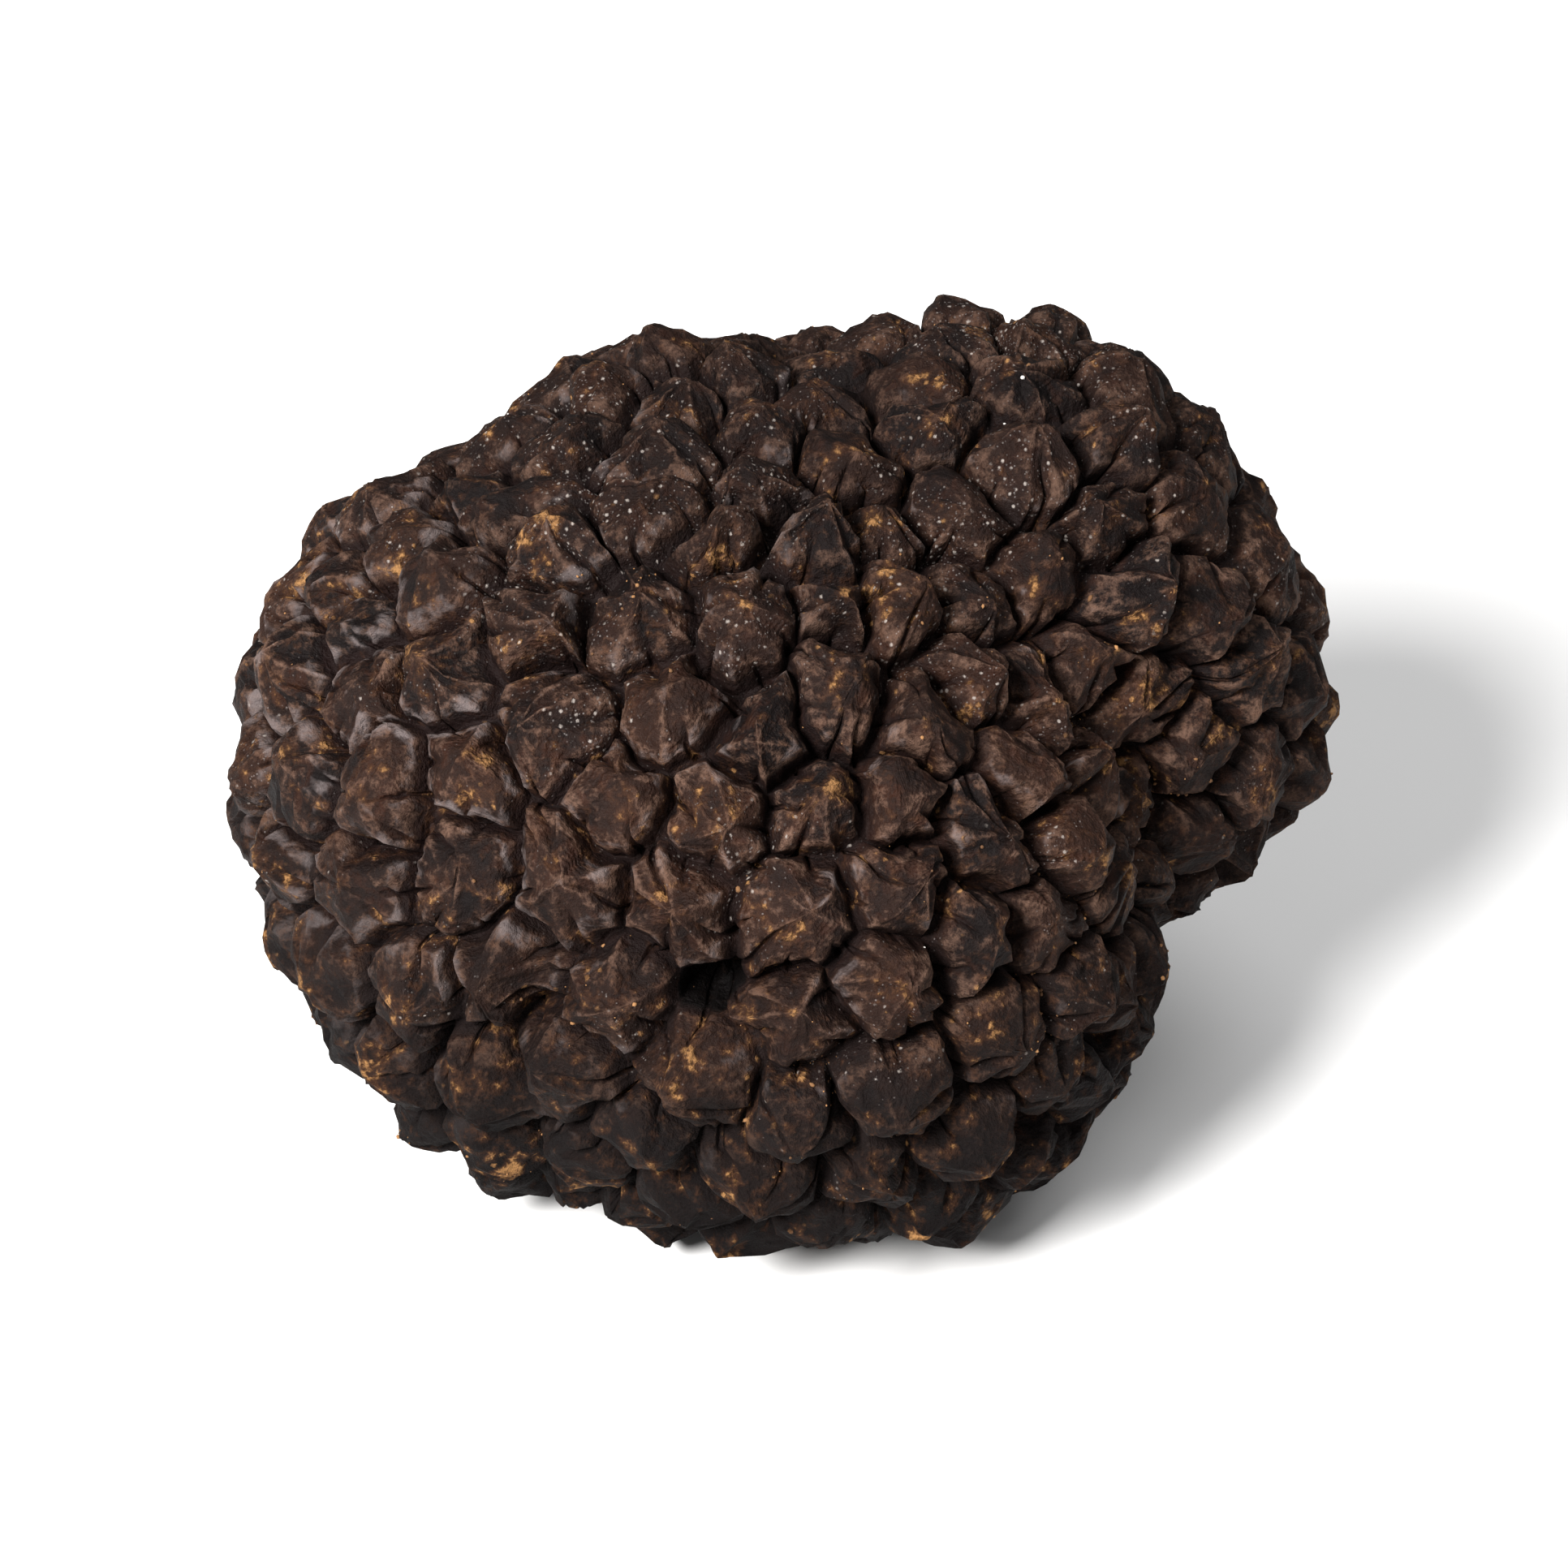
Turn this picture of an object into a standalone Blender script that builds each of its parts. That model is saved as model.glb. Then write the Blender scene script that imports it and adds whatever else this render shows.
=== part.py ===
"""Whole autumn truffle: one lobed tuber covered in pyramidal warts, lying on a small worn flat.

The bare body is star-shaped about a point inside it, the heart: each direction from the heart meets
its surface once. The warts are relief raised on it, nearly square to the surface.
Metres, +Z up, the resting plane at z = 0.
"""

import math

import bmesh
import bpy
import numpy as np
from mathutils import Vector

MM = 0.001

# The heart, above the resting plane and near the middle of the outline seen from above.
HEART = np.array([0.02, 1.32, 19.4]) * MM

# Each lobe is a ball about a centre measured from the heart: x, y, z and radius in millimetres.
LOBES_MM = {
    "main": (-3.5, -0.5, -0.5, 18.0),
    "left": (-11.0, -1.5, -0.5, 12.8),
    "left_top": (-15.0, 3.0, 3.0, 9.4),
    "front": (1.0, -7.5, -3.0, 14.0),
    "lower_left": (-8.5, -5.0, -5.0, 11.0),
    "lower_right": (4.5, -3.0, -7.0, 11.4),
    "base": (-3.0, 3.0, -6.0, 11.8),
    "top": (-4.0, 6.5, 6.0, 11.8),
    "crown": (9.5, 6.5, 6.5, 12.6),
    "right": (14.0, 6.5, 1.0, 10.8),
}
LOBE_BLEND = 2.0 * MM  # how softly one lobe runs into the next

# Dents: the directions of both ends from the heart, then depth and half-width in millimetres.
DENTS_MM = {
    "pit": ((-0.17, -1.0, 0.05), (-0.17, -1.0, 0.05), 1.0, 3.2),
    "front_crease": ((-0.53, -0.84, 0.06), (-0.51, -0.61, -0.6), 1.5, 1.8),
    "right_crease": ((0.93, -0.19, -0.33), (0.77, -0.35, 0.53), 0.7, 2.4),
    "saddle": ((-0.45, -0.65, 0.64), (-0.35, -0.65, 0.64), 0.9, 3.5),
}

# Warts: width on the bulging front and on the far side, and how far one differs from the next.
WART_COUNT = 276
WART_WIDTH_FRONT = 5.4 * MM
WART_WIDTH_FAR = 5.0 * MM
WART_WIDTH_SPREAD = 0.17
WART_FRONT = (0.1, -0.85, -0.5)  # where the widest warts are, as a direction from the heart
WART_RISE = 1.2 * MM  # from the bare body to a wart's crest
WART_RISE_SPREAD = 0.37
WART_STAND = 0.34 * MM  # how far a whole wart may stand above or below its neighbours
CREST_SHIFT = 0.26  # of a wart's own half-width, off its middle
GROOVE_DEPTH = 1.0 * MM  # below the bare body
SEED = 11

# One narrow wart has sunk and leaves a pit in the front: its direction, its width against the
# others' and how much lower it stands.
SUNK_DIRECTION = (-0.17, -1.0, 0.05)
SUNK_WIDTH = 0.72
SUNK_DEPTH = 2.2 * MM

# How the warts are spread: rounds of pushing, the gap wanted between two middles as a share of
# both widths, the share of a push taken in each round, and the most that a width may stray.
SPREAD_ROUNDS = 70
SPREAD_GAP = 0.62
SPREAD_PACE = 0.35
SPREAD_LIMIT = 1.6

# Groove corners lie between the point equally far from three warts and the mean of their middles.
CORNER_EVENNESS = 0.5

# The way that relief rises: square to the body, leaning by this share towards straight from the
# heart, and how far apart the points are that the slope is taken from, as an angle at the heart.
RELIEF_LEAN = 0.3
SLOPE_STEP = 0.08

# Rings of a wart: share of the way from groove to crest, and share of the rise reached there.
SHOULDER = (0.14, 0.24)
FLANK = (0.50, 0.70)

# The worn flat: the plane that the body flattens towards, and how softly.
FLAT_HEIGHT = 0.6 * MM
FLAT_BLEND = 0.8 * MM
LEAST_SLOPE = 0.05  # keeps the plane's distance finite for directions that never meet it

SKIN_COLOUR = (0.036, 0.025, 0.020, 1.0)
SKIN_ROUGHNESS = 0.72
SHARP_ANGLE = math.radians(40)


def unit(vectors):
    return vectors / np.linalg.norm(vectors, axis=-1, keepdims=True)


def arc_distance(directions, start, end):
    """How far each direction is from the arc between two others, on a sphere of radius one."""
    start = unit(np.array(start))
    along = unit(np.array(end)) - start
    share = (directions - start) @ along / max(along @ along, 1e-9)
    nearest = unit(start + np.clip(share, 0, 1)[:, None] * along)
    return np.linalg.norm(directions - nearest, axis=1)


def body_radius(directions):
    """The bare body: a soft maximum of the lobes' far sides, less the dents, flattened below."""
    reaches = []
    for *centre, radius in LOBES_MM.values():
        centre = np.array(centre) * MM
        along = directions @ centre
        chord = along**2 - centre @ centre + (radius * MM) ** 2
        reaches.append(along + np.sqrt(np.maximum(chord, 0)))
    reaches = np.array(reaches)
    furthest = reaches.max(axis=0)
    reach = furthest + LOBE_BLEND * np.log(np.exp((reaches - furthest) / LOBE_BLEND).sum(axis=0))
    dents = [
        depth * MM * np.exp(-((arc_distance(directions, start, end) * reach / MM / width) ** 2))
        for start, end, depth, width in DENTS_MM.values()
    ]
    reach = reach - sum(dents)
    down = np.maximum(-directions[:, 2], LEAST_SLOPE)
    to_flat = (HEART[2] - FLAT_HEIGHT) / down
    nearest = np.minimum(reach, to_flat)
    return nearest - FLAT_BLEND * np.log(
        np.exp((nearest - reach) / FLAT_BLEND) + np.exp((nearest - to_flat) / FLAT_BLEND)
    )


def relief_ways(directions):
    """The way that relief rises at each direction from the heart."""
    reference = np.where(np.abs(directions[:, :1]) < 0.6, [[1.0, 0.0, 0.0]], [[0.0, 1.0, 0.0]])
    across = unit(np.cross(directions, reference))
    along = np.cross(directions, across)
    spans = []
    for step in (across * SLOPE_STEP, along * SLOPE_STEP):
        ahead = unit(directions + step)
        behind = unit(directions - step)
        spans.append(ahead * body_radius(ahead)[:, None] - behind * body_radius(behind)[:, None])
    square = unit(np.cross(spans[0], spans[1]))
    return unit(square + RELIEF_LEAN * directions)


def spread_warts(random):
    """Directions of the warts: strewn at random, then pushed apart; the first is the sunk one."""
    directions = unit(random.normal(0, 1, (WART_COUNT, 3)))
    stray = random.normal(0, 1, WART_COUNT).clip(-SPREAD_LIMIT, SPREAD_LIMIT)
    own_width = 1 + WART_WIDTH_SPREAD * stray
    own_width[0] = SUNK_WIDTH
    for _ in range(SPREAD_ROUNDS):
        directions[0] = unit(np.array(SUNK_DIRECTION))
        radius = body_radius(directions)
        places = directions * radius[:, None]
        front = 0.5 + 0.5 * directions @ unit(np.array(WART_FRONT))
        width = own_width * (WART_WIDTH_FAR + (WART_WIDTH_FRONT - WART_WIDTH_FAR) * front)
        gaps = places[:, None] - places[None, :]
        distance = np.linalg.norm(gaps, axis=2) + np.eye(WART_COUNT)
        wanted = SPREAD_GAP * (width[:, None] + width[None, :])
        push = np.maximum(0, 1 - distance / wanted) * (1 - np.eye(WART_COUNT))
        shift = (gaps / distance[..., None] * push[..., None]).sum(axis=1)
        directions = unit(directions + shift * (SPREAD_PACE * width / radius)[:, None])
    return directions


def groove_corner(middles):
    """The direction where the grooves between three warts meet."""
    mean = (middles[0] + middles[1] + middles[2]) / 3
    first = middles[1] - middles[0]
    second = middles[2] - middles[0]
    square = first.cross(second)
    even = second.length_squared * square.cross(first) + first.length_squared * second.cross(square)
    even = middles[0] + even / (2 * square.length_squared)
    return even.lerp(mean, CORNER_EVENNESS).normalized()


def wart_outlines(directions):
    """The directions where three warts meet, and which of them go round each wart, in order."""
    net = bmesh.new()
    for direction in directions:
        net.verts.new(direction)
    net.verts.ensure_lookup_table()
    bmesh.ops.convex_hull(net, input=net.verts[:])
    for vertex, radius in zip(net.verts, body_radius(directions)):
        vertex.co *= radius
    bmesh.ops.beautify_fill(net, faces=net.faces[:], edges=net.edges[:], method="ANGLE")
    net.faces.index_update()
    corners = [groove_corner([vertex.co for vertex in face.verts]) for face in net.faces]
    outlines = []
    for vertex in net.verts:
        across = vertex.co.orthogonal().normalized()
        up = vertex.co.normalized().cross(across)
        angle = {
            face.index: math.atan2(corners[face.index].dot(up), corners[face.index].dot(across))
            for face in vertex.link_faces
        }
        outlines.append(sorted(angle, key=angle.get))
    net.free()
    return corners, outlines


def surface_points(directions, relief):
    """Points on the body raised by the relief, worn off at the resting plane."""
    directions = unit(np.array(directions))
    points = directions * body_radius(directions)[:, None]
    points = HEART + points + relief_ways(directions) * np.array(relief)[:, None]
    points[:, 2] = np.maximum(points[:, 2], 0)
    return points


def warty_mesh():
    """One closed mesh: the groove net, then each wart's shoulder, flank and crest inside it."""
    random = np.random.default_rng(SEED)
    middles = spread_warts(random)
    corners, outlines = wart_outlines(middles)
    directions = list(corners)
    relief = [-GROOVE_DEPTH] * len(corners)
    faces = []
    for wart, (middle, outline) in enumerate(zip(middles, outlines)):
        rise = WART_RISE * (1 + random.uniform(-WART_RISE_SPREAD, WART_RISE_SPREAD))
        stand = random.uniform(-WART_STAND, WART_STAND) - (SUNK_DEPTH if wart == 0 else 0)
        aim = random.uniform(0, 2 * math.pi)
        middle = Vector(middle)
        across = middle.orthogonal().normalized()
        off = math.cos(aim) * across + math.sin(aim) * middle.cross(across)
        half_width = sum((corners[c] - middle).length for c in outline) / len(outline)
        crest = (middle + CREST_SHIFT * half_width * off).normalized()
        rings = [outline]
        for share, height in (SHOULDER, FLANK):
            first = len(directions)
            directions += [corners[c].lerp(crest, share) for c in outline]
            relief += [stand + rise * height] * len(outline)
            rings.append(range(first, len(directions)))
        top = len(directions)
        directions.append(crest)
        relief.append(stand + rise)
        for here, after in [(k, (k + 1) % len(outline)) for k in range(len(outline))]:
            for outer, inner in zip(rings, rings[1:]):
                faces.append((outer[here], outer[after], inner[after]))
                faces.append((outer[here], inner[after], inner[here]))
            faces.append((rings[-1][here], rings[-1][after], top))
    points = surface_points([tuple(d) for d in directions], relief)
    mesh = bpy.data.meshes.new("truffle")
    mesh.from_pydata(points.tolist(), [], faces)
    mesh.validate()
    mesh.shade_smooth()
    mesh.set_sharp_from_angle(angle=SHARP_ANGLE)
    return mesh


def skin_material():
    material = bpy.data.materials.new("dark_skin")
    material.use_nodes = True
    shader = material.node_tree.nodes["Principled BSDF"]
    shader.inputs["Base Color"].default_value = SKIN_COLOUR
    shader.inputs["Roughness"].default_value = SKIN_ROUGHNESS
    shader.inputs["Metallic"].default_value = 0.0
    return material


def main():
    for old in list(bpy.data.objects):
        bpy.data.objects.remove(old)
    mesh = warty_mesh()
    mesh.materials.append(skin_material())
    truffle = bpy.data.objects.new("truffle", mesh)
    bpy.context.scene.collection.objects.link(truffle)


main()
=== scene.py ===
import math

import bmesh
import bpy
import numpy as np
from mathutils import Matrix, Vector


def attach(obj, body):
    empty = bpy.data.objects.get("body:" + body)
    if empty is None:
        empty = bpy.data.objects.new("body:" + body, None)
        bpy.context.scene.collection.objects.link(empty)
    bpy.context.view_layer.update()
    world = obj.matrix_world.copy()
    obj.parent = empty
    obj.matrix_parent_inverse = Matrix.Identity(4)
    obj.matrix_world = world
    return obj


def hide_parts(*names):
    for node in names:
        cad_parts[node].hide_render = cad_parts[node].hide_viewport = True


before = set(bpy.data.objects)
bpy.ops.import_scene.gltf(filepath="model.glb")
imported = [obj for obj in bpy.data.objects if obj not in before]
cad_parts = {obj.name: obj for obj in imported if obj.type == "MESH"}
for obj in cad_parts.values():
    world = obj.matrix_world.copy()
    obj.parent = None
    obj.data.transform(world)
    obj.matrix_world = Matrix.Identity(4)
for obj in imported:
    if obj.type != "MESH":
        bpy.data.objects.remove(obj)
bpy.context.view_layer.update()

mm = 0.001

# The grown form, the same as the solid's, in millimetres. Directions are from the heart, which is
# a point inside it.
form = {
    "heart": (0.02, 1.32, 19.4),
    "lobes": {  # balls: x, y and z from the heart, and radius
        "main": (-3.5, -0.5, -0.5, 18.0),
        "left": (-11.0, -1.5, -0.5, 12.8),
        "leftTop": (-15.0, 3.0, 3.0, 9.4),
        "front": (1.0, -7.5, -3.0, 14.0),
        "lowerLeft": (-8.5, -5.0, -5.0, 11.0),
        "lowerRight": (4.5, -3.0, -7.0, 11.4),
        "base": (-3.0, 3.0, -6.0, 11.8),
        "top": (-4.0, 6.5, 6.0, 11.8),
        "crown": (9.5, 6.5, 6.5, 12.6),
        "right": (14.0, 6.5, 1.0, 10.8),
    },
    "blend": 2.0,  # how softly one lobe runs into the next
    "dents": {  # the directions of both ends, then depth and half-width
        "pit": ((-0.17, -1.0, 0.05), (-0.17, -1.0, 0.05), 1.0, 3.2),
        "frontCrease": ((-0.53, -0.84, 0.06), (-0.51, -0.61, -0.6), 1.5, 1.8),
        "rightCrease": ((0.93, -0.19, -0.33), (0.77, -0.35, 0.53), 0.7, 2.4),
        "saddle": ((-0.45, -0.65, 0.64), (-0.35, -0.65, 0.64), 0.9, 3.5),
    },
    "flatHeight": 0.6,  # of the plane that the underside flattens towards
    "flatBlend": 0.8,
    "leastSlope": 0.05,  # keeps the plane's distance finite for directions that never meet it
    "lean": 0.3,  # of the relief, from square to the body towards straight from the heart
    "slopeStep": 0.08,  # how far apart the slope is measured, as an angle at the heart
}


def unit(vectors):
    return vectors / np.linalg.norm(vectors, axis=-1, keepdims=True)


def arcDistance(directions, start, end):
    # how far each direction is from the arc between two others, on a sphere of radius one
    start = unit(np.array(start))
    along = unit(np.array(end)) - start
    share = (directions - start) @ along / max(along @ along, 1e-9)
    nearest = unit(start + np.clip(share, 0, 1)[:, None] * along)
    return np.linalg.norm(directions - nearest, axis=1)


def bodyRadius(directions):
    # the far side of each ball along a direction, joined by a soft maximum; each dent is a bell
    # curve of the distance from its arc; a soft minimum with the plane flattens the underside
    reaches = []
    for *centre, radius in form["lobes"].values():
        centre = np.array(centre)
        along = directions @ centre
        chord = along**2 - centre @ centre + radius**2
        reaches.append(along + np.sqrt(np.maximum(chord, 0)))
    reaches = np.array(reaches)
    furthest = reaches.max(axis=0)
    blend = form["blend"]
    reach = furthest + blend * np.log(np.exp((reaches - furthest) / blend).sum(axis=0))
    dents = [
        depth * np.exp(-((arcDistance(directions, start, end) * reach / width) ** 2))
        for start, end, depth, width in form["dents"].values()
    ]
    reach = reach - sum(dents)
    down = np.maximum(-directions[:, 2], form["leastSlope"])
    toFlat = (form["heart"][2] - form["flatHeight"]) / down
    nearest = np.minimum(reach, toFlat)
    soft = form["flatBlend"]
    weight = np.exp((nearest - reach) / soft) + np.exp((nearest - toFlat) / soft)
    return nearest - soft * np.log(weight)


def onBody(directions):
    # the bare body's points in these directions, from the heart
    return directions * bodyRadius(directions)[:, None]


def reliefWays(directions):
    # the way that relief rises: square to the body, leaning a little to straight from the heart
    reference = np.where(np.abs(directions[:, :1]) < 0.6, [[1.0, 0.0, 0.0]], [[0.0, 1.0, 0.0]])
    across = unit(np.cross(directions, reference))
    along = np.cross(directions, across)
    spans = []
    for step in (across * form["slopeStep"], along * form["slopeStep"]):
        spans.append(onBody(unit(directions + step)) - onBody(unit(directions - step)))
    square = unit(np.cross(spans[0], spans[1]))
    return unit(square + form["lean"] * directions)


# Where the warts stand, the same as on the solid.
warts = {
    "count": 276,
    "front": (0.1, -0.85, -0.5),  # the direction of the widest
    "widthFront": 5.4,
    "widthFar": 5.0,
    "widthSpread": 0.17,
    "rise": 1.2,  # from the bare body to a crest
    "riseSpread": 0.37,
    "stand": 0.34,  # how far a whole wart may stand above or below its neighbours
    "crestShift": 0.26,  # of a wart's own half-width, off its middle
    "rounds": 70,  # of pushing each other apart
    "gap": 0.62,  # wanted between two middles, as a share of both widths
    "pace": 0.35,  # share of a push taken in each round
    "limit": 1.6,  # the most that a width may stray
    "evenness": 0.5,  # of the groove corners
    "sunk": (-0.17, -1.0, 0.05),  # the direction of the sunk wart
    "sunkWidth": 0.72,
    "sunkDepth": 2.2,
    "seed": 11,
}


def spreadWarts(random):
    # points strewn at random, which push each other apart until each has its own width; the first
    # is the sunk wart, which stays in its place
    count = warts["count"]
    directions = unit(random.normal(0, 1, (count, 3)))
    stray = random.normal(0, 1, count).clip(-warts["limit"], warts["limit"])
    ownWidth = 1 + warts["widthSpread"] * stray
    ownWidth[0] = warts["sunkWidth"]
    for _ in range(warts["rounds"]):
        directions[0] = unit(np.array(warts["sunk"]))
        radius = bodyRadius(directions)
        places = directions * radius[:, None]
        front = 0.5 + 0.5 * directions @ unit(np.array(warts["front"]))
        width = ownWidth * (warts["widthFar"] + (warts["widthFront"] - warts["widthFar"]) * front)
        gaps = places[:, None] - places[None, :]
        distance = np.linalg.norm(gaps, axis=2) + np.eye(count)
        wanted = warts["gap"] * (width[:, None] + width[None, :])
        push = np.maximum(0, 1 - distance / wanted) * (1 - np.eye(count))
        shift = (gaps / distance[..., None] * push[..., None]).sum(axis=1)
        directions = unit(directions + shift * (warts["pace"] * width / radius)[:, None])
    return directions


def grooveCorner(middles):
    # between the point equally far from the middles of three warts and the mean of the three
    mean = (middles[0] + middles[1] + middles[2]) / 3
    first = middles[1] - middles[0]
    second = middles[2] - middles[0]
    square = first.cross(second)
    even = second.length_squared * square.cross(first) + first.length_squared * second.cross(square)
    even = middles[0] + even / (2 * square.length_squared)
    return even.lerp(mean, warts["evenness"]).normalized()


def wartOutlines(directions):
    # the hull of the directions joins neighbours, its edges are flipped to suit the true places,
    # and a groove corner lies over each of its triangles
    net = bmesh.new()
    for direction in directions:
        net.verts.new(direction)
    net.verts.ensure_lookup_table()
    bmesh.ops.convex_hull(net, input=net.verts[:])
    for vertex, radius in zip(net.verts, bodyRadius(directions)):
        vertex.co *= radius * mm
    bmesh.ops.beautify_fill(net, faces=net.faces[:], edges=net.edges[:], method="ANGLE")
    net.faces.index_update()
    corners = [grooveCorner([vertex.co for vertex in face.verts]) for face in net.faces]
    outlines = []
    for vertex in net.verts:
        across = vertex.co.orthogonal().normalized()
        up = vertex.co.normalized().cross(across)
        angle = {
            face.index: math.atan2(corners[face.index].dot(up), corners[face.index].dot(across))
            for face in vertex.link_faces
        }
        outlines.append(sorted(angle, key=angle.get))
    net.free()
    return np.array([tuple(c) for c in corners]), outlines


def anyAcross(vector):
    # a unit vector square to another one, chosen the way that Blender's Vector.orthogonal does
    x, y, z = vector
    axis = int(np.abs(vector).argmax())
    picked = ((-y - z, x, x), (y, -x - z, y), (z, z, -x - y))[axis]
    return unit(np.array(picked))


def waves(points, length, seed, count=28):
    # smooth noise about 1 high: plane waves of nearly one length, in random directions, summed
    random = np.random.default_rng(seed)
    ways = unit(random.normal(size=(count, 3))) * random.uniform(0.7, 1.4, (count, 1))
    phases = random.uniform(0, 2 * math.pi, count)
    heights = np.sin(points @ ways.T * (2 * math.pi / length) + phases)
    return heights.sum(axis=1) / math.sqrt(count / 2)


# The fine skin, in millimetres and shares. A side is one stretch of a wart's outline, between two
# groove corners.
skin = {
    # rings from the groove to the crest: share of the way, and columns on each side
    "rings": (
        (0.0, 12), (0.06, 12), (0.15, 12), (0.27, 6), (0.40, 6), (0.55, 6), (0.71, 6), (0.87, 6),
    ),
    "warps": ((3.6, 0.22), (1.3, 0.055), (0.7, 0.03)),  # wave length, and sideways push of the net
    "lumps": ((3.0, 0.07), (1.3, 0.045), (0.7, 0.035), (0.42, 0.03)),  # wave length and height
    "riseGain": 1.15,  # times the solid's rise
    "brow": (0.0, 0.26),  # share of the rise reached beside the groove
    "blunt": (0.08, 0.40),  # share of the way from the crest within which the tip is rounded
    "grooveDepth": 1.0,
    "grooveWidth": 0.34,
    "depthSway": (0.2, 6.0),  # share by which the depth sways, and wave length
    "widthSway": (0.25, 5.0),
    "flankHollow": 0.15,
    "sideHollow": (-0.3, 1.5),  # lots for each side, below 0 where its flank bulges
    "wartHollow": (0.4, 1.5),  # least for each wart, and what its lot may add
    "sectorStep": 0.09,  # how much higher or lower one piece between two cracks stands
    "sectorMost": 12,  # pieces that a wart may have
    "sectorFade": 0.7,  # power of the fading towards the crest
    "crackShare": 0.78,  # of the sides
    "crackColumns": (4, 6, 8),  # where a crack may start
    "crackEndMiddle": (0.25, 0.45),  # how far up it reaches, from the middle column
    "crackEndAside": (0.4, 0.9),
    "crackDepth": 0.9,
    "crackSpread": (0.5, 1.2),
    "crackWidth": 0.14,
    "crackPull": (0.55, 0.12, 0.1),  # on the columns beside it: share, width, and reach past its end
    "crackRounding": (0.04, 0.25),  # depth and width of the rounding beside it
    "pitDepth": 0.9,  # of the sunk wart, below where it stands on the solid
    "pitLean": 0.42,  # how far the warts round the sunk one lean over it
    "pitSlope": 3,
    "grooveMark": 0.46,  # widths of the marks that the paint reads
    "crackMark": 0.13,
    "shoulderMark": (0.5, 0.2),  # distance from the groove, and width
    "ridgeGain": 4,
    "spinePower": 3,
    "seed": 23,
}
rimColumns = skin["rings"][0][1]


def wartNet():
    # every side of every wart: its wart, its two corners, the next side and the groove it lies on
    random = np.random.default_rng(warts["seed"])
    middles = spreadWarts(random)
    corners, outlines = wartOutlines(middles)
    crests = []
    rises = []
    stands = []
    rows = []
    grooves = {}
    for wart, (middle, outline) in enumerate(zip(middles, outlines)):
        rises.append(warts["rise"] * (1 + random.uniform(-warts["riseSpread"], warts["riseSpread"])))
        sunk = warts["sunkDepth"] if wart == 0 else 0
        stands.append(random.uniform(-warts["stand"], warts["stand"]) - sunk)
        aim = random.uniform(0, 2 * math.pi)
        across = anyAcross(middle)
        off = math.cos(aim) * across + math.sin(aim) * np.cross(middle, across)
        halfWidth = np.linalg.norm(corners[outline] - middle, axis=1).mean()
        crests.append(unit(middle + warts["crestShift"] * halfWidth * off))
        first = len(rows)
        count = len(outline)
        for k, here in enumerate(outline):
            after = outline[(k + 1) % count]
            groove = grooves.setdefault((min(here, after), max(here, after)), len(grooves))
            follower = first + (k + 1) % count
            rows.append((wart, here, after, follower, groove, here > after, k / count, count))
    # the warts round the sunk one lean over it
    lean = skin["pitLean"]
    corners[outlines[0]] = unit((1 - lean) * corners[outlines[0]] + lean * middles[0])
    rows = np.array(rows)
    whole = rows[:, :5].astype(int)
    return {
        "corners": corners,
        "crests": np.array(crests),
        "rises": np.array(rises),
        "stands": np.array(stands),
        "grooveCount": len(grooves),
        "wart": whole[:, 0],
        "here": whole[:, 1],
        "after": whole[:, 2],
        "next": whole[:, 3],
        "groove": whole[:, 4],
        "flipped": rows[:, 5].astype(bool),
        "turn": rows[:, 6],
        "sides": rows[:, 7],
    }


def ringIndices(net):
    # vertex numbers, ring by ring: a row for each side, a column for each step along it, and one
    # more column that is the next side's first. The outermost ring is shared between neighbours.
    sides = len(net["wart"])
    cornerCount = len(net["corners"])
    step = np.arange(1, rimColumns)
    inner = np.where(net["flipped"][:, None], rimColumns - step, step) - 1
    inner = cornerCount + net["groove"][:, None] * (rimColumns - 1) + inner
    rings = [np.column_stack([net["here"], inner, net["after"]])]
    start = cornerCount + net["grooveCount"] * (rimColumns - 1)
    for _, columns in skin["rings"][1:]:
        own = start + np.arange(sides * columns).reshape(sides, columns)
        rings.append(np.column_stack([own, own[net["next"], 0]]))
        start += sides * columns
    crests = start + net["wart"]
    return rings, crests, start + len(net["crests"])


def skinFaces(rings, crests):
    # two triangles for each column between two rings, three where the outer ring has twice as
    # many columns, and a fan round each crest
    faces = []
    for outer, inner in zip(rings, rings[1:]):
        step = (outer.shape[1] - 1) // (inner.shape[1] - 1)
        c0, c1 = inner[:, :-1], inner[:, 1:]
        f0, f2 = outer[:, :-1:step], outer[:, step::step]
        if step == 1:
            faces += [(f0, f2, c1), (f0, c1, c0)]
        else:
            f1 = outer[:, 1::2]
            faces += [(f0, f1, c0), (f1, f2, c1), (f1, c1, c0)]
    last = rings[-1]
    faces.append((last[:, :-1], last[:, 1:], np.broadcast_to(crests[:, None], last[:, 1:].shape)))
    return np.concatenate([np.stack(face, axis=-1).reshape(-1, 3) for face in faces])


def netShares(net, rings, crests, count):
    # of each vertex: rho, the share of the way from groove to crest; s, the share of the way along
    # its side; and the number of that side
    rho = np.zeros(count)
    share = np.zeros(count)
    side = np.zeros(count, dtype=int)
    sides = np.arange(len(net["wart"]))
    for (ringRho, columns), ring in zip(skin["rings"], rings):
        own = ring[:, :-1]
        rho[own] = ringRho
        share[own] = np.arange(columns) / columns
        side[own] = sides[:, None]
    forward = ~net["flipped"]
    rim = rings[0][forward, :-1]
    share[rim] = np.arange(rimColumns) / rimColumns
    side[rim] = sides[forward][:, None]
    share[net["here"]] = 0.0
    side[net["here"]] = sides
    rho[crests] = 1.0
    side[crests] = sides
    return rho, share, side


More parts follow.
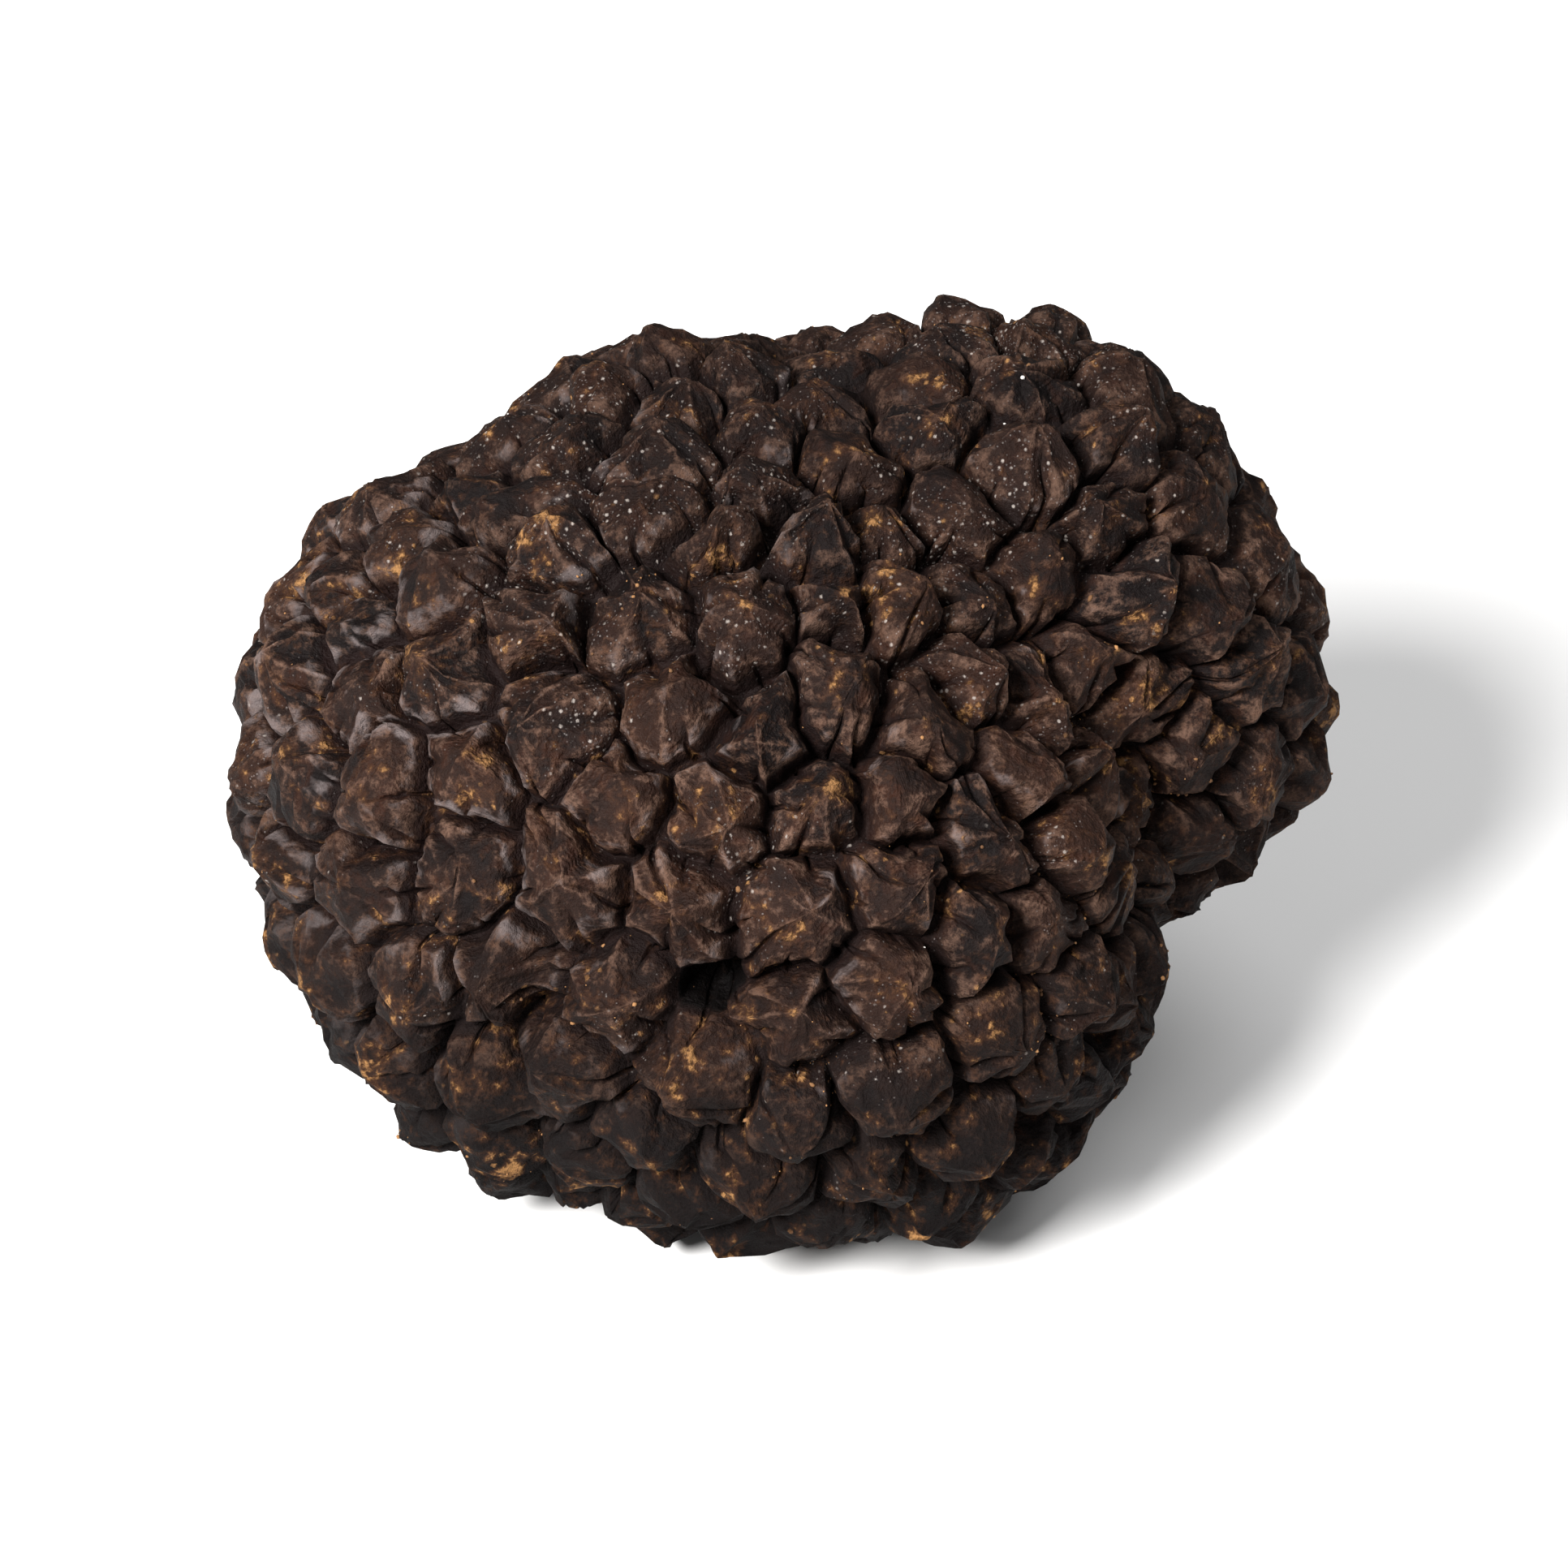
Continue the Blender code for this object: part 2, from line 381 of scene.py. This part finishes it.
def drawLots(net):
    # what is drawn at random for each wart and for each side, and the step of each sector; a
    # wart's cracks are counted along its outline
    random = np.random.default_rng(skin["seed"])
    wartCount = len(net["crests"])
    sides = len(net["wart"])
    brow = random.uniform(*skin["brow"], wartCount)
    blunt = random.uniform(*skin["blunt"], wartCount)
    least, more = skin["wartHollow"]
    hollow = random.uniform(*skin["sideHollow"], sides)
    hollow = hollow * (least + more * random.uniform(0, 1, wartCount) ** 2)[net["wart"]]
    tint = random.uniform(0, 1, wartCount)
    cracked = random.uniform(0, 1, sides) < skin["crackShare"]
    crackAt = random.choice(skin["crackColumns"], sides) / rimColumns
    endMiddle = random.uniform(*skin["crackEndMiddle"], sides)
    endAside = random.uniform(*skin["crackEndAside"], sides)
    crackDepth = skin["crackDepth"] * random.uniform(*skin["crackSpread"], sides) * cracked
    sectorStep = skin["sectorStep"] * random.uniform(-1, 1, (wartCount, skin["sectorMost"]))
    firstSide = np.searchsorted(net["wart"], np.arange(wartCount))
    cracksBefore = np.cumsum(cracked) - cracked
    ofWart = {
        "brow": brow,
        "blunt": blunt,
        "tint": tint,
        "stand": net["stands"],
        "rise": net["rises"],
        "cracks": np.maximum(np.bincount(net["wart"], cracked), 1).astype(int),
    }
    ofSide = {
        "hollow": hollow,
        "cracked": cracked,
        "crackAt": crackAt,
        "crackEnd": np.where(crackAt == 0.5, endMiddle, endAside),
        "crackDepth": crackDepth,
        "cracksBefore": cracksBefore - cracksBefore[firstSide][net["wart"]],
    }
    return ofWart, ofSide, sectorStep


def convexity(relief, faces):
    # how far each point stands above the mean of its neighbours, smoothed once over them
    ends = np.concatenate([faces[:, [0, 1]], faces[:, [1, 2]], faces[:, [2, 0]]])
    counts = np.bincount(ends[:, 0], minlength=len(relief))
    above = relief - np.bincount(ends[:, 0], relief[ends[:, 1]], len(relief)) / counts
    smooth = np.bincount(ends[:, 0], above[ends[:, 1]], len(relief)) / counts
    return np.clip((above + smooth) * skin["ridgeGain"], -1, 1)


def skinSurface(net):
    # A wart's surface is a function of two shares: rho, from its groove to its crest, and s, along
    # its side. Dome = 1 - (1 - brow) * a fall that is blunt at the crest. Relief = (stand + rise *
    # dome + sector's step - hollow flank - rounding beside a crack) * (1 - groove) - crack - pit -
    # groove + lumps, raised from the bare body along reliefWays.
    rings, crestIndex, count = ringIndices(net)
    rho, share, side = netShares(net, rings, crestIndex, count)
    wart = net["wart"][side]
    ofWart, ofSide, sectorStep = drawLots(net)
    lot = {name: values[wart] for name, values in ofWart.items()}
    lot.update({name: values[side] for name, values in ofSide.items()})
    seed = skin["seed"]

    # cracks pull the columns beside them closer
    pullShare, pullWidth, pullPast = skin["crackPull"]
    away = share - lot["crackAt"]
    pull = pullShare * lot["cracked"] * (rho > 0) * (rho < lot["crackEnd"] + pullPast)
    bent = lot["crackAt"] + away * (1 - pull * np.exp(-((away / pullWidth) ** 2)))
    start = net["corners"][net["here"][side]]
    end = net["corners"][net["after"][side]]
    rim = unit(start + (end - start) * bent[:, None])
    crest = net["crests"][wart]
    places = onBody(unit(rim + (crest - rim) * rho[:, None]))

    # the net of grooves is pushed sideways by smooth noise
    push = sum(
        size * np.stack([waves(places, length, seed + k) for k in (1, 2, 3)], axis=1)
        for length, size in skin["warps"]
    )
    direction = unit(places + push)
    places = onBody(direction)

    # distances from the groove and from the crack, and what each takes away
    reach = rho * np.linalg.norm(onBody(rim) - onBody(crest), axis=1)
    sway, length = skin["widthSway"]
    grooveWidth = skin["grooveWidth"] * (1 + sway * waves(places, length, seed + 4))
    groove = np.exp(-((reach / grooveWidth) ** 2))
    sideLength = np.linalg.norm(onBody(start) - onBody(end), axis=1)
    crackGap = np.abs(bent - lot["crackAt"]) * sideLength * (1 - rho)
    taper = np.clip(1 - rho / lot["crackEnd"], 0, 1) ** 0.5 * lot["cracked"]
    crack = np.maximum(0, 1 - crackGap / skin["crackWidth"]) * taper

    blunt = lot["blunt"]
    fall = (np.sqrt((1 - rho) ** 2 + blunt**2) - blunt) / (np.sqrt(1 + blunt**2) - blunt)
    dome = 1 - (1 - lot["brow"]) * fall
    flank = np.sin(math.pi * share) * 4 * rho * (1 - rho)
    sector = (lot["cracksBefore"] + lot["cracked"] * (share > lot["crackAt"])) % lot["cracks"]
    roundDepth, roundWidth = skin["crackRounding"]
    relief = lot["stand"] + skin["riseGain"] * lot["rise"] * dome
    relief += sectorStep[wart, sector] * (1 - rho) ** skin["sectorFade"]
    relief -= skin["flankHollow"] * lot["hollow"] * flank
    relief -= roundDepth * taper * np.exp(-crackGap / roundWidth)
    relief = relief * (1 - groove) - lot["crackDepth"] * crack
    relief -= skin["pitDepth"] * (wart == 0) * np.clip(rho * skin["pitSlope"], 0, 1)
    sway, length = skin["depthSway"]
    relief -= skin["grooveDepth"] * groove * (1 + sway * waves(places, length, seed + 5))
    for k, (length, lump) in enumerate(skin["lumps"]):
        relief += lump * waves(places, length, seed + 10 + k) * (1 - groove)
    points = np.array(form["heart"]) + places + reliefWays(direction) * relief[:, None]
    points[:, 2] = np.maximum(points[:, 2], 0)

    # marks for the paint
    faces = skinFaces(rings, crestIndex)
    angle = 2 * math.pi * (net["turn"][side] + share / net["sides"][side])
    around = np.stack([np.cos(angle), np.sin(angle), rho], axis=1)
    around[crestIndex] = (0, 0, 1)
    shoulderAt, shoulderWidth = skin["shoulderMark"]
    spine = (1 - np.abs(np.sin(math.pi * share))) ** skin["spinePower"]
    marks = {
        "ridge": convexity(relief, faces),
        "groove": np.exp(-((reach / skin["grooveMark"]) ** 2)),
        "crack": np.exp(-((crackGap / skin["crackMark"]) ** 2)) * taper,
        "tint": lot["tint"],
        "around": around,
        "rho": rho,
        # the sunk wart, whose pit the paint shades nearly black
        "pit": 1.0 * (wart == 0),
        "trough": np.clip(lot["hollow"], 0, 2) * flank,
        "spine": spine * np.clip(lot["hollow"], 0, 1) * (rho > 0.1),
        "shoulder": np.exp(-(((reach - shoulderAt) / shoulderWidth) ** 2)),
    }
    return points * mm, faces, marks, relief


# Loose crumbs of soil, and a few white ones, in millimetres and shares.
crumbs = {
    "count": 800,
    "size": (0.04, 0.17),
    "sizePower": 4,  # the higher, the fewer large ones
    "ragged": (0.7, 1.25),  # how far a crumb's corners are drawn in or out
    "squash": (0.6, 1.3),
    "proud": 0.1,  # of its size, from the skin to its middle
    "swarm": (1.6, 9.0),  # strength and wave length of the swarms
    "onCrests": 1.2,
    "onFlanks": 0.2,
    "crestHeight": 1.6,
    "lowest": 3,
    "whiteShare": 0.03,
    "whiteTone": 2.0,
    "seed": 31,
}


def crumbSurface(points, groove, relief):
    # each crumb is a twelve-cornered ball, its corners drawn in or out at random, squashed and
    # turned at random, and set on a corner of the skin's mesh
    random = np.random.default_rng(crumbs["seed"])
    ball = bmesh.new()
    bmesh.ops.create_icosphere(ball, subdivisions=1, radius=1.0)
    corners = np.array([tuple(v.co) for v in ball.verts])
    ballFaces = np.array([[v.index for v in f.verts] for f in ball.faces])
    ball.free()

    # likeliest in grooves and on the highest crests, in swarms, and never at the very bottom
    strength, length = crumbs["swarm"]
    crests = np.clip(relief / crumbs["crestHeight"], 0, 1) ** 3
    likely = crumbs["onFlanks"] + groove + crumbs["onCrests"] * crests
    likely = likely * np.exp(strength * waves(points / mm, length, crumbs["seed"] + 1))
    likely = likely * (points[:, 2] > crumbs["lowest"] * mm)
    count = crumbs["count"]
    chosen = random.choice(len(points), count, replace=False, p=likely / likely.sum())

    low, high = crumbs["size"]
    size = (low + (high - low) * random.uniform(0, 1, count) ** crumbs["sizePower"]) * mm
    shape = corners * random.uniform(*crumbs["ragged"], (count, len(corners), 1))
    shape = shape * random.uniform(*crumbs["squash"], (count, 1, 3)) * size[:, None, None]
    turns = np.linalg.qr(random.normal(size=(count, 3, 3)))[0]
    turns[:, :, 0] *= np.sign(np.linalg.det(turns))[:, None]
    shape = shape @ turns
    outward = unit(points[chosen] - np.array(form["heart"]) * mm)
    middles = points[chosen] + outward * size[:, None] * crumbs["proud"]
    allPoints = (middles[:, None] + shape).reshape(-1, 3)
    allFaces = (ballFaces + (np.arange(count) * len(corners))[:, None, None]).reshape(-1, 3)
    tone = random.uniform(0, 1, count)
    white = random.uniform(0, 1, count) < crumbs["whiteShare"]
    tone = np.repeat(np.where(white, crumbs["whiteTone"], tone), len(corners))
    return allPoints, allFaces, {"tone": tone}


def meshPiece(name, points, faces, marks):
    mesh = bpy.data.meshes.new(name)
    mesh.vertices.add(len(points))
    mesh.vertices.foreach_set("co", points.astype(np.float32).ravel())
    mesh.loops.add(faces.size)
    mesh.loops.foreach_set("vertex_index", faces.astype(np.int32).ravel())
    mesh.polygons.add(len(faces))
    mesh.polygons.foreach_set("loop_start", np.arange(0, faces.size, 3, dtype=np.int32))
    mesh.update(calc_edges=True)
    for mark, values in marks.items():
        kind, key = ("FLOAT_VECTOR", "vector") if values.ndim == 2 else ("FLOAT", "value")
        attribute = mesh.attributes.new(mark, kind, "POINT")
        attribute.data.foreach_set(key, values.astype(np.float32).ravel())
    mesh.shade_smooth()
    piece = bpy.data.objects.new(name, mesh)
    bpy.context.scene.collection.objects.link(piece)
    return piece


class Wire:
    # a value in a material: an output socket that sums and products can be written with
    def __init__(self, paint, socket):
        self.paint = paint
        self.socket = socket

    def __add__(self, other):
        return self.paint.math("ADD", self, other)

    def __sub__(self, other):
        return self.paint.math("SUBTRACT", self, other)

    def __rsub__(self, other):
        return self.paint.math("SUBTRACT", other, self)

    def __mul__(self, other):
        return self.paint.math("MULTIPLY", self, other)

    __radd__ = __add__
    __rmul__ = __mul__


class Paint:
    # one material and the nodes in it
    def __init__(self, name):
        self.material = bpy.data.materials.new(name)
        self.material.use_nodes = True
        self.tree = self.material.node_tree
        self.shader = self.tree.nodes["Principled BSDF"]

    def add(self, kind, settings=None, inputs=None, output=0):
        # a node of any type: its settings come first, then the values or links of its sockets
        node = self.tree.nodes.new(kind)
        for key, value in (settings or {}).items():
            setattr(node, key, value)
        for key, value in (inputs or {}).items():
            self.feed(node.inputs[key], value)
        return Wire(self, node.outputs[output])

    def feed(self, socket, value):
        if isinstance(value, Wire):
            self.tree.links.new(value.socket, socket)
        else:
            socket.default_value = value

    def math(self, operation, *values):
        return self.add("ShaderNodeMath", {"operation": operation}, dict(enumerate(values)))

    def mark(self, name, output="Fac"):
        return self.add("ShaderNodeAttribute", {"attribute_name": name}, output=output)

    def place(self):
        return self.add("ShaderNodeTexCoord", output="Object")

    def along(self, axis):
        # how far along X, Y or Z, in metres
        return self.add("ShaderNodeSeparateXYZ", None, {0: self.place()}, axis)

    def noise(self, vector, scale, detail, rough, distortion):
        inputs = {"Vector": vector, "Scale": scale, "Detail": detail, "Roughness": rough}
        inputs["Distortion"] = distortion
        return self.add("ShaderNodeTexNoise", None, inputs, "Fac")

    def between(self, value, low, high):
        # 0 below low, 1 above high, smooth between
        inputs = {"Value": value, "From Min": low, "From Max": high}
        return self.add("ShaderNodeMapRange", {"interpolation_type": "SMOOTHSTEP"}, inputs)

    def dots(self, vector, ragged, bias, scale, edge, pick):
        # one dot in some of the cells: the edge band of its size, and the band of the choice
        cells = {"Vector": vector, "Scale": scale, "Randomness": 1.0}
        gap = self.add("ShaderNodeTexVoronoi", None, cells, "Distance") + (ragged - 0.5) * 0.5
        chosen = self.add("ShaderNodeTexVoronoi", None, cells, "Color") + bias
        return (1 - self.between(gap, *edge)) * self.between(chosen, *pick)

    def mix(self, factor, first, second):
        # the colour sockets of a Mix node share their names, so they are picked by number
        return self.add("ShaderNodeMix", {"data_type": "RGBA"}, {0: factor, 6: first, 7: second}, 2)


# Colours, bands and noises of the skin. A band is where a value starts and stops to count.
skinLook = {
    "noises": {  # scale, detail, roughness and distortion
        "broad": (170.0, 3.0, 0.55, 0.0),
        "middling": (620.0, 4.0, 0.6, 0.0),
        "blotch": (900.0, 3.0, 0.6, 0.4),
        "fine": (2600.0, 4.0, 0.65, 0.0),
        "grain": (6500.0, 3.0, 0.7, 0.0),
        "streaks": (4.0, 3.0, 0.6, 0.3),
        # painted sheen on the left side
        "paintedSheen": (420.0, 4.0, 0.65, 0.3),
        "soilPlace": (330.0, 2.0, 0.6, 0.0),
        "soilGrain": (1300.0, 3.0, 0.6, 0.0),
    },
    "dots": {  # scale, band of the edge, and band of the choice
        "soil": (1700.0, (0.14, 0.30), (0.84, 0.97)),
        "speck": (2700.0, (0.08, 0.30), (0.86, 1.02)),
        "mote": (6000.0, (0.10, 0.34), (0.76, 1.0)),
    },
    "bands": {
        "worn": (0.56, 0.98),
        "reddish": (0.5, 0.70),
        "growth": (0.50, 0.66),
        # dust, also a painted highlight on the ridges
        "dustAndHighlight": (0.16, 0.98),
        # painted sheen on the left side
        "paintedSheen": (0.79, 1.03),
        # painted shade in the grooves and, next, in the cracks
        "shadedGroove": (0.2, 0.95),
        "shadedCrack": (0.30, 0.75),
        "underside": (0.006, 0.031),  # height in metres
        "top": (0.026, 0.037),
        "stain": (0.61, 0.775),
        "soil": (0.712, 0.82),
        "soilTone": (0.35, 0.65),
    },
    "colours": {
        "bare": (0.0044, 0.0028, 0.0027, 1),
        "worn": (0.0178, 0.0076, 0.0047, 1),
        "reddish": (0.030, 0.0106, 0.0056, 1),
        # pale dust, also a painted highlight on the ridges
        "dustAndHighlight": (0.118, 0.068, 0.048, 1),
        # painted sheen, greyish
        "paintedSheen": (0.128, 0.105, 0.103, 1),
        # painted shade in the grooves and cracks
        "groove": (0.0085, 0.0042, 0.0038, 1),
        "shade": (0.0026, 0.0016, 0.0016, 1),
        "stain": (0.046, 0.019, 0.009, 1),
        "soilDark": (0.075, 0.035, 0.015, 1),
        "soilPale": (0.27, 0.138, 0.052, 1),
        "speck": (0.25, 0.22, 0.20, 1),
        "mote": (0.20, 0.18, 0.17, 1),
        # painted shade, nearly black, in the sunk wart's pit
        "pit": (0.0008, 0.0005, 0.0005, 1),
    },
    "sheen": 0.075,  # of the shader's specular level
    "bumpDistance": 0.00030,  # in metres
}


def skinPaint():
    paint = Paint("duskySkin")
    noises = skinLook["noises"]
    bands = skinLook["bands"]
    dots = skinLook["dots"]
    colours = skinLook["colours"]
    place = paint.place()
    sideways = paint.along("X")
    height = paint.along("Z")
    groove = paint.mark("groove")
    crack = paint.mark("crack")
    ridge = paint.mark("ridge")
    spine = paint.mark("spine")
    trough = paint.mark("trough")
    shoulder = paint.mark("shoulder")
    tint = paint.mark("tint")
    rho = paint.mark("rho")
    broad = paint.noise(place, *noises["broad"])
    middling = paint.noise(place, *noises["middling"])
    blotch = paint.noise(place, *noises["blotch"])
    fine = paint.noise(place, *noises["fine"])
    grain = paint.noise(place, *noises["grain"])
    streaks = paint.noise(paint.mark("around", "Vector"), *noises["streaks"])

    # nearly black in the troughs and where it is bare, brown where it is worn, reddish in blotches
    worn = broad * 0.6 + middling * 0.7 + tint * 0.22 - trough * 0.06 + ridge * 0.05 + rho * 0.04
    colour = paint.mix(paint.between(worn, *bands["worn"]), colours["bare"], colours["worn"])
    colour = paint.mix(paint.between(blotch, *bands["reddish"]) * 0.5, colour, colours["reddish"])

    # growth lines run along the rims, here and there
    growth = paint.math("SINE", rho * 60.0 + middling * 9.0 + tint * 30.0)
    growth = growth * paint.between(blotch + tint * 0.1, *bands["growth"])

    # pale dust on what stands out, broken up by the grain; on the ridges it is also a painted
    # highlight
    standing = ridge * 0.34 + spine * 0.30 + shoulder * 0.05 + (fine - 0.5) * 1.6
    standing = standing + (middling - 0.5) * 1.5 + (grain - 0.5) * 0.7 + rho * 0.12 + growth * 0.03
    dustAndHighlight = paint.between(standing, *bands["dustAndHighlight"])
    colour = paint.mix(dustAndHighlight * 0.9, colour, colours["dustAndHighlight"])

    # painted sheen: greyish highlights painted on the rims of the left side, where the key light comes
    # from
    paintedSheen = paint.noise(place, *noises["paintedSheen"])
    paintedSheen = paintedSheen + ridge * 0.24 + spine * 0.08 + shoulder * 0.07 + growth * 0.015 - sideways * 5.0
    colour = paint.mix(paint.between(paintedSheen, *bands["paintedSheen"]) * 0.75, colour, colours["paintedSheen"])

    # painted shade: grooves and cracks are darkened to dark brown, most of all on the left
    shadedGroove = paint.between(groove + (fine - 0.5) * 0.3, *bands["shadedGroove"])
    shadedCrack = paint.between(crack + (fine - 0.5) * 0.2, *bands["shadedCrack"])
    dark = paint.between(shadedGroove + shadedCrack, 0.0, 1.0)
    colour = paint.mix(dark * (0.7 - sideways * 12.0), colour, colours["groove"])

    # darker towards the underside, and a little on top
    shade = (1 - paint.between(height, *bands["underside"])) * 0.97
    shade = shade + paint.between(height, *bands["top"]) * 0.4
    colour = paint.mix(shade, colour, colours["shade"])

    # orange soil in patches, thickest about the crests, in the cracks and on the left and right,
    # with a brown stain round it
    soilPlace = paint.noise(place, *noises["soilPlace"])
    soilGrain = paint.noise(place, *noises["soilGrain"])
    laid = soilPlace * 0.55 + soilGrain * 0.6 + rho * rho * 0.08 + crack * 0.06 + (grain - 0.5) * 0.10
    laid = laid + paint.math("ABSOLUTE", sideways) * 0.9
    colour = paint.mix(paint.between(laid, *bands["stain"]) * 0.55, colour, colours["stain"])
    loose = paint.dots(place, grain, soilPlace * 1.2 - 0.6, *dots["soil"])
    soil = paint.math("MAXIMUM", paint.between(laid, *bands["soil"]), loose)
    soilTone = paint.between(fine, *bands["soilTone"])
    soilColour = paint.mix(soilTone, colours["soilDark"], colours["soilPale"])
    colour = paint.mix(soil * 0.76, colour, soilColour)

    # fine pale specks, in swarms that are denser on top
    swarm = (broad - 0.5) * 1.6 + (height - 0.024) * 12.0
    colour = paint.mix(paint.dots(place, grain, swarm, *dots["speck"]) * 0.8, colour, colours["speck"])
    colour = paint.mix(paint.dots(place, grain, swarm, *dots["mote"]) * 0.4, colour, colours["mote"])
    # painted shade: the sunk wart's pit is painted nearly black
    colour = paint.mix(paint.mark("pit") * 0.9, colour, colours["pit"])

    paint.feed(paint.shader.inputs["Base Color"], colour)
    paint.feed(paint.shader.inputs["Roughness"], 0.5 + dustAndHighlight * 0.25 + fine * 0.15 + shade * 0.2)
    paint.shader.inputs["Specular IOR Level"].default_value = skinLook["sheen"]
    bumps = fine * 0.65 + streaks * 0.4 + grain * 0.25 + middling * 0.6 + blotch * 0.4
    bumps = bumps + growth * 0.05 - shadedCrack * 0.5 + soil * 0.25
    inputs = {"Strength": 1.0, "Distance": skinLook["bumpDistance"], "Height": bumps}
    normal = paint.add("ShaderNodeBump", None, inputs, "Normal")
    paint.feed(paint.shader.inputs["Normal"], normal)
    return paint.material


# Colours and bands of the crumbs.
crumbLook = {
    "noise": (3800.0, 3.0, 0.6, 0.0),
    "tone": (0.1, 0.9),  # from dark to pale
    "grain": (0.4, 0.7),
    "white": (1.4, 1.6),  # below the tone of the white ones
    "dark": (0.075, 0.035, 0.015, 1),
    "pale": (0.25, 0.125, 0.050, 1),
    "dusty": (0.10, 0.055, 0.03, 1),
    "whitish": (0.40, 0.38, 0.36, 1),
}


def soilPaint():
    paint = Paint("dryEarth")
    tone = paint.mark("tone")
    grain = paint.noise(paint.place(), *crumbLook["noise"])
    colour = paint.mix(paint.between(tone, *crumbLook["tone"]), crumbLook["dark"], crumbLook["pale"])
    colour = paint.mix(paint.between(grain, *crumbLook["grain"]) * 0.4, colour, crumbLook["dusty"])
    colour = paint.mix(paint.between(tone, *crumbLook["white"]), colour, crumbLook["whitish"])
    paint.feed(paint.shader.inputs["Base Color"], colour)
    paint.shader.inputs["Roughness"].default_value = 0.9
    paint.shader.inputs["Specular IOR Level"].default_value = 0.2
    return paint.material


def makeTruffle():
    points, faces, marks, relief = skinSurface(wartNet())
    piece = meshPiece("truffleSkin", points, faces, marks)
    piece.data.materials.append(skinPaint())
    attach(piece, "root")
    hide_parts("truffle")
    print("skin", len(points), "points", len(faces), "faces")
    soil = meshPiece("soilCrumbs", *crumbSurface(points, marks["groove"], relief))
    soil.data.materials.append(soilPaint())
    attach(soil, "root")
    print("crumbs", len(soil.data.polygons), "faces")


studio = {
    "floorHalf": 3.0,
    "floorColour": (0.86, 0.86, 0.86, 1),
    "aim": (0, 0, 0.02),
    "lights": {  # place, size, power and colour
        "keyLight": ((-0.225, -0.33, 0.30), 0.18, 7.2, (1.0, 0.985, 0.968)),
        "topLight": ((0.16, 0.00, 0.50), 0.40, 1.2, (1.0, 1.0, 1.0)),
    },
    "world": 0.28,
}


def makeLight(name, place, size, power, colour):
    lamp = bpy.data.lights.new(name, "AREA")
    lamp.shape = "DISK"
    lamp.size = size
    lamp.energy = power
    lamp.color = colour
    holder = bpy.data.objects.new(name, lamp)
    holder.location = place
    toAim = Vector(studio["aim"]) - Vector(place)
    holder.rotation_euler = toAim.to_track_quat("-Z", "Y").to_euler()
    bpy.context.scene.collection.objects.link(holder)


def makeStudio():
    half = studio["floorHalf"]
    corners = [(-half, -half, 0), (half, -half, 0), (half, half, 0), (-half, half, 0)]
    mesh = bpy.data.meshes.new("floor")
    mesh.from_pydata(corners, [], [(0, 1, 2, 3)])
    floor = bpy.data.objects.new("floor", mesh)
    bpy.context.scene.collection.objects.link(floor)
    paint = Paint("paleFloor")
    paint.shader.inputs["Base Color"].default_value = studio["floorColour"]
    paint.shader.inputs["Roughness"].default_value = 0.9
    paint.shader.inputs["Specular IOR Level"].default_value = 0.1
    mesh.materials.append(paint.material)
    for name, values in studio["lights"].items():
        makeLight(name, *values)
    world = bpy.data.worlds.new("studio")
    world.use_nodes = True
    background = world.node_tree.nodes["Background"]
    background.inputs["Color"].default_value = (1.0, 1.0, 1.0, 1)
    background.inputs["Strength"].default_value = studio["world"]
    bpy.context.scene.world = world
    bpy.context.scene.view_settings.view_transform = "Standard"
    print("floor and", len(studio["lights"]), "lights")


camera = {
    "lens": 100.0,
    "sensor": 36.0,
    "elevation": 30.0,
    "azimuth": 0.0,
    "distance": 206.0,  # in millimetres, as is the aim
    "aim": (-0.3, 0.0, 19.8),
    "clip": (0.01, 20.0),
}


def makeCamera():
    lens = bpy.data.cameras.new("camera")
    lens.lens = camera["lens"]
    lens.sensor_width = camera["sensor"]
    lens.clip_start, lens.clip_end = camera["clip"]
    up = math.radians(camera["elevation"])
    turn = math.radians(camera["azimuth"])
    back = Vector((math.sin(turn) * math.cos(up), -math.cos(turn) * math.cos(up), math.sin(up)))
    eye = bpy.data.objects.new("camera", lens)
    eye.location = Vector(camera["aim"]) * mm + back * camera["distance"] * mm
    eye.rotation_euler = (-back).to_track_quat("-Z", "Y").to_euler()
    bpy.context.scene.collection.objects.link(eye)
    bpy.context.scene.camera = eye
    print("camera", camera["distance"], "mm from its aim")


makeCamera()
makeStudio()
makeTruffle()
